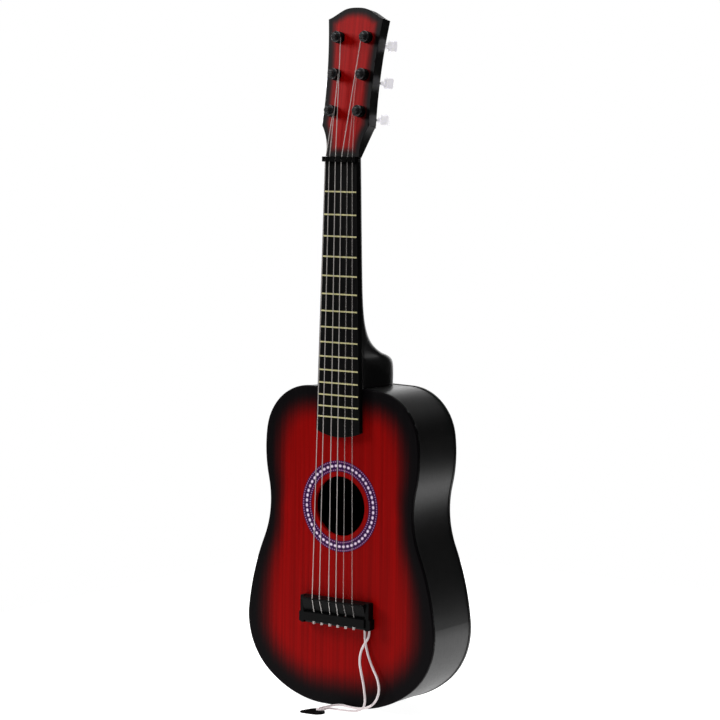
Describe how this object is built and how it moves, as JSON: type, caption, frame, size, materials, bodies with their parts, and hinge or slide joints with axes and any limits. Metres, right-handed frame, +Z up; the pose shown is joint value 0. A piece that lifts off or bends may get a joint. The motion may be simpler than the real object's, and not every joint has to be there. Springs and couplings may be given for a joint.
{
  "type": "toy guitar",
  "caption": "Toy guitar with a hollow red sunburst body, black sides and neck, nylon strings over a sound hole, worm-drive tuners and a pick on a white cord.",
  "frame": {"origin": "on the floor, under the centre of the box round the guitar without its pick cord", "axes": "+Z up along the neck, +Y from the soundboard to the back, +X to the right when facing the soundboard"},
  "size_m": [0.1928, 0.0988, 0.59],
  "materials": {
    "red_burst": "glossy print, deep red fading to black at the edge",
    "black_body": "satin black paint",
    "bare_wood": "unfinished inner wood",
    "black_fretboard": "matt black paint",
    "gold_print": "pale gold foil print",
    "rosette_print": "printed sticker, purple with white-pink beads",
    "black_plastic": "glossy black moulding",
    "nylon": "clear nylon monofilament",
    "black_post": "black plated metal",
    "steel": "plated steel",
    "clear_button": "milky translucent plastic",
    "white_cord": "white braided cord",
    "black_pick": "black plastic"
  },
  "bodies": {
    "guitar": {"soundboard": "red_burst", "rosette_sticker": "rosette_print", "back_panel": "black_body", "side_left": "black_body", "side_right": "black_body", "front_lining": "bare_wood", "back_lining": "bare_wood", "neck_block": "bare_wood", "tail_block": "bare_wood", "top_braces": "bare_wood", "back_braces": "bare_wood", "bridge_plate": "bare_wood", "bridge": "black_plastic", "string_knots": "nylon", "neck": "black_body", "headstock_face": "red_burst", "fretboard": "black_fretboard", "fret_lines": "gold_print", "nut": "black_plastic", "neck_screws": "steel", "post_bushings": "black_plastic", "tuner_plate_left": "steel", "tuner_plate_right": "steel", "tuner_screws": "steel", "string_1": "nylon", "string_2": "nylon", "string_3": "nylon", "string_4": "nylon", "string_5": "nylon", "string_6": "nylon", "pick_cord": "white_cord", "cord_knot": "white_cord", "pick": "black_pick"},
    "tuner_knob_6": {"worm_shaft_6": "steel", "button_6": "clear_button"},
    "tuning_post_6": {"post_6": "black_post", "winding_6": "nylon"},
    "tuner_knob_5": {"worm_shaft_5": "steel", "button_5": "clear_button"},
    "tuning_post_5": {"post_5": "black_post", "winding_5": "nylon"},
    "tuner_knob_4": {"worm_shaft_4": "steel", "button_4": "clear_button"},
    "tuning_post_4": {"post_4": "black_post", "winding_4": "nylon"},
    "tuner_knob_3": {"worm_shaft_3": "steel", "button_3": "clear_button"},
    "tuning_post_3": {"post_3": "black_post", "winding_3": "nylon"},
    "tuner_knob_2": {"worm_shaft_2": "steel", "button_2": "clear_button"},
    "tuning_post_2": {"post_2": "black_post", "winding_2": "nylon"},
    "tuner_knob_1": {"worm_shaft_1": "steel", "button_1": "clear_button"},
    "tuning_post_1": {"post_1": "black_post", "winding_1": "nylon"}
  },
  "joints": [
    {"name": "knob_turn_6", "type": "hinge", "parent": "guitar", "child": "tuner_knob_6", "pos_m": [-0.0142, -0.00739, 0.49645], "axis": [1, 0, 0], "continuous": true},
    {"name": "post_turn_6", "type": "hinge", "parent": "guitar", "child": "tuning_post_6", "pos_m": [-0.0142, -0.02074, 0.50351], "axis": [0, -0.9889, 0.1483], "continuous": true},
    {"name": "knob_turn_5", "type": "hinge", "parent": "guitar", "child": "tuner_knob_5", "pos_m": [-0.0142, -0.00281, 0.52701], "axis": [1, 0, 0], "continuous": true},
    {"name": "post_turn_5", "type": "hinge", "parent": "guitar", "child": "tuning_post_5", "pos_m": [-0.0142, -0.01616, 0.53407], "axis": [0, -0.9889, 0.1483], "continuous": true},
    {"name": "knob_turn_4", "type": "hinge", "parent": "guitar", "child": "tuner_knob_4", "pos_m": [-0.0142, 0.00182, 0.55787], "axis": [1, 0, 0], "continuous": true},
    {"name": "post_turn_4", "type": "hinge", "parent": "guitar", "child": "tuning_post_4", "pos_m": [-0.0142, -0.01153, 0.56492], "axis": [0, -0.9889, 0.1483], "continuous": true},
    {"name": "knob_turn_3", "type": "hinge", "parent": "guitar", "child": "tuner_knob_3", "pos_m": [0.0142, 0.00182, 0.55787], "axis": [1, 0, 0], "continuous": true},
    {"name": "post_turn_3", "type": "hinge", "parent": "guitar", "child": "tuning_post_3", "pos_m": [0.0142, -0.01153, 0.56492], "axis": [0, -0.9889, 0.1483], "continuous": true},
    {"name": "knob_turn_2", "type": "hinge", "parent": "guitar", "child": "tuner_knob_2", "pos_m": [0.0142, -0.00281, 0.52701], "axis": [1, 0, 0], "continuous": true},
    {"name": "post_turn_2", "type": "hinge", "parent": "guitar", "child": "tuning_post_2", "pos_m": [0.0142, -0.01616, 0.53407], "axis": [0, -0.9889, 0.1483], "continuous": true},
    {"name": "knob_turn_1", "type": "hinge", "parent": "guitar", "child": "tuner_knob_1", "pos_m": [0.0142, -0.00739, 0.49645], "axis": [1, 0, 0], "continuous": true},
    {"name": "post_turn_1", "type": "hinge", "parent": "guitar", "child": "tuning_post_1", "pos_m": [0.0142, -0.02074, 0.50351], "axis": [0, -0.9889, 0.1483], "continuous": true}
  ],
  "couplings": [
    {"joint": "post_turn_6", "follows": "knob_turn_6", "ratio": -0.083333},
    {"joint": "post_turn_5", "follows": "knob_turn_5", "ratio": -0.083333},
    {"joint": "post_turn_4", "follows": "knob_turn_4", "ratio": -0.083333},
    {"joint": "post_turn_3", "follows": "knob_turn_3", "ratio": -0.083333},
    {"joint": "post_turn_2", "follows": "knob_turn_2", "ratio": -0.083333},
    {"joint": "post_turn_1", "follows": "knob_turn_1", "ratio": -0.083333}
  ]
}
